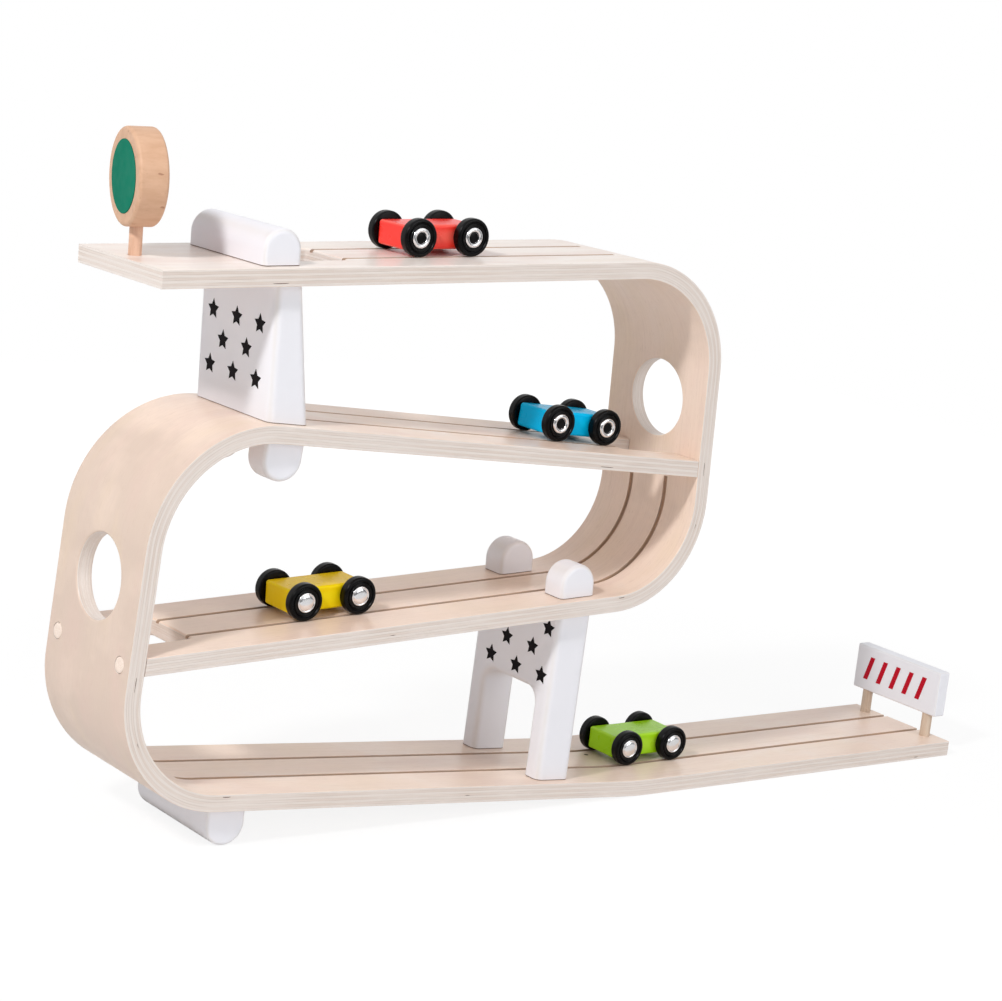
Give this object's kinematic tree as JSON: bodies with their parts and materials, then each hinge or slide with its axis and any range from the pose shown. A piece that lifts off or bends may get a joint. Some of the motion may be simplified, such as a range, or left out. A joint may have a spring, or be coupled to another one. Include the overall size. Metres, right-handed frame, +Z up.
{
  "type": "toy car ramp",
  "caption": "Wooden zigzag toy car ramp of bent plywood decks with drop openings, posts, a swivelling signal disc, a finish barrier and small rolling cars.",
  "frame": {"origin": "on the floor, midway along the whole length and across the width", "axes": "+X towards the finish barrier, +Y to the far side, +Z up"},
  "size_m": [0.6478, 0.09, 0.3884],
  "materials": {
    "plywood": "sanded, clear satin lacquer",
    "white_paint": "white satin paint on wood",
    "plug_wood": "sanded end grain",
    "sign_wood": "sanded beech, clear satin lacquer",
    "dowel_wood": "sanded beech",
    "sign_green": "satin green",
    "sign_red": "satin red",
    "paint_red": "red gloss paint on wood",
    "paint_blue": "blue gloss paint on wood",
    "paint_yellow": "yellow gloss paint on wood",
    "paint_green": "green gloss paint on wood",
    "tyre": "moulded black rubber",
    "hub_cap": "bright plated",
    "axle_steel": "drawn steel rod",
    "screw_steel": "zinc-plated steel"
  },
  "bodies": {
    "stand": {"barrier_board": "white_paint", "barrier_dowels": "dowel_wood", "foot_bar": "white_paint", "left_wall_plugs": "plug_wood", "left_wall_screws": "screw_steel", "lower_post": "white_paint", "lower_track": "plywood", "ramp_pad_far": "white_paint", "ramp_pad_near": "white_paint", "right_wall_plugs": "plug_wood", "right_wall_screws": "screw_steel", "top_bumper": "white_paint", "under_pad_far": "white_paint", "under_pad_near": "white_paint", "upper_post": "white_paint", "upper_track": "plywood"},
    "sign": {"sign_disc": "sign_wood", "sign_green_inset": "sign_green", "sign_red_inset": "sign_red", "sign_dowel": "sign_wood"},
    "red_car": {"red_car_body": "paint_red"},
    "red_car_left_wheels": {"red_car_left_axle": "axle_steel", "red_car_left_hub_caps": "hub_cap", "red_car_left_tyre_far": "tyre", "red_car_left_tyre_near": "tyre"},
    "red_car_right_wheels": {"red_car_right_axle": "axle_steel", "red_car_right_hub_caps": "hub_cap", "red_car_right_tyre_far": "tyre", "red_car_right_tyre_near": "tyre"},
    "blue_car": {"blue_car_body": "paint_blue"},
    "blue_car_left_wheels": {"blue_car_left_axle": "axle_steel", "blue_car_left_hub_caps": "hub_cap", "blue_car_left_tyre_far": "tyre", "blue_car_left_tyre_near": "tyre"},
    "blue_car_right_wheels": {"blue_car_right_axle": "axle_steel", "blue_car_right_hub_caps": "hub_cap", "blue_car_right_tyre_far": "tyre", "blue_car_right_tyre_near": "tyre"},
    "yellow_car": {"yellow_car_body": "paint_yellow"},
    "yellow_car_left_wheels": {"yellow_car_left_axle": "axle_steel", "yellow_car_left_hub_caps": "hub_cap", "yellow_car_left_tyre_far": "tyre", "yellow_car_left_tyre_near": "tyre"},
    "yellow_car_right_wheels": {"yellow_car_right_axle": "axle_steel", "yellow_car_right_hub_caps": "hub_cap", "yellow_car_right_tyre_far": "tyre", "yellow_car_right_tyre_near": "tyre"},
    "green_car": {"green_car_body": "paint_green"},
    "green_car_left_wheels": {"green_car_left_axle": "axle_steel", "green_car_left_hub_caps": "hub_cap", "green_car_left_tyre_far": "tyre", "green_car_left_tyre_near": "tyre"},
    "green_car_right_wheels": {"green_car_right_axle": "axle_steel", "green_car_right_hub_caps": "hub_cap", "green_car_right_tyre_far": "tyre", "green_car_right_tyre_near": "tyre"}
  },
  "joints": [
    {"name": "red_car_slide", "type": "slide", "parent": "stand", "child": "red_car", "axis": [0.9994, 0, 0.0351], "range_m": [-0.048, 0.1]},
    {"name": "red_car_left_spin", "type": "hinge", "parent": "red_car", "child": "red_car_left_wheels", "pos_m": [-0.14273, 0, 0.33772], "axis": [0, 1, 0], "continuous": true},
    {"name": "red_car_right_spin", "type": "hinge", "parent": "red_car", "child": "red_car_right_wheels", "pos_m": [-0.10635, 0, 0.339], "axis": [0, 1, 0], "continuous": true},
    {"name": "blue_car_slide", "type": "slide", "parent": "stand", "child": "blue_car", "axis": [0.9961, 0, -0.0879], "range_m": [-0.175, 0.012]},
    {"name": "blue_car_left_spin", "type": "hinge", "parent": "blue_car", "child": "blue_car_left_wheels", "pos_m": [-0.0272, 0, 0.23047], "axis": [0, 1, 0], "continuous": true},
    {"name": "blue_car_right_spin", "type": "hinge", "parent": "blue_car", "child": "blue_car_right_wheels", "pos_m": [0.00906, 0, 0.22727], "axis": [0, 1, 0], "continuous": true},
    {"name": "yellow_car_slide", "type": "slide", "parent": "stand", "child": "yellow_car", "axis": [0.9987, 0, 0.0504], "range_m": [-0.073, 0.163]},
    {"name": "yellow_car_left_spin", "type": "hinge", "parent": "yellow_car", "child": "yellow_car_left_wheels", "pos_m": [-0.19509, 0, 0.13062], "axis": [0, 1, 0], "continuous": true},
    {"name": "yellow_car_right_spin", "type": "hinge", "parent": "yellow_car", "child": "yellow_car_right_wheels", "pos_m": [-0.15874, 0, 0.13246], "axis": [0, 1, 0], "continuous": true},
    {"name": "green_car_slide", "type": "slide", "parent": "stand", "child": "green_car", "axis": [1, 0, 0], "range_m": [-0.003, 0.2]},
    {"name": "green_car_left_spin", "type": "hinge", "parent": "green_car", "child": "green_car_left_wheels", "pos_m": [0.05925, 0, 0.02115], "axis": [0, 1, 0], "continuous": true},
    {"name": "green_car_right_spin", "type": "hinge", "parent": "green_car", "child": "green_car_right_wheels", "pos_m": [0.09565, 0, 0.02115], "axis": [0, 1, 0], "continuous": true},
    {"name": "sign_turn", "type": "hinge", "parent": "stand", "child": "sign", "pos_m": [-0.30975, 0.0048, 0.3207], "axis": [-0.0351, 0, 0.9994], "continuous": true}
  ],
  "couplings": [
    {"joint": "red_car_left_spin", "follows": "red_car_slide", "rad_per_m": 91.743},
    {"joint": "red_car_right_spin", "follows": "red_car_slide", "rad_per_m": 91.743},
    {"joint": "blue_car_left_spin", "follows": "blue_car_slide", "rad_per_m": 91.743},
    {"joint": "blue_car_right_spin", "follows": "blue_car_slide", "rad_per_m": 91.743},
    {"joint": "yellow_car_left_spin", "follows": "yellow_car_slide", "rad_per_m": 91.743},
    {"joint": "yellow_car_right_spin", "follows": "yellow_car_slide", "rad_per_m": 91.743},
    {"joint": "green_car_left_spin", "follows": "green_car_slide", "rad_per_m": 91.743},
    {"joint": "green_car_right_spin", "follows": "green_car_slide", "rad_per_m": 91.743}
  ]
}
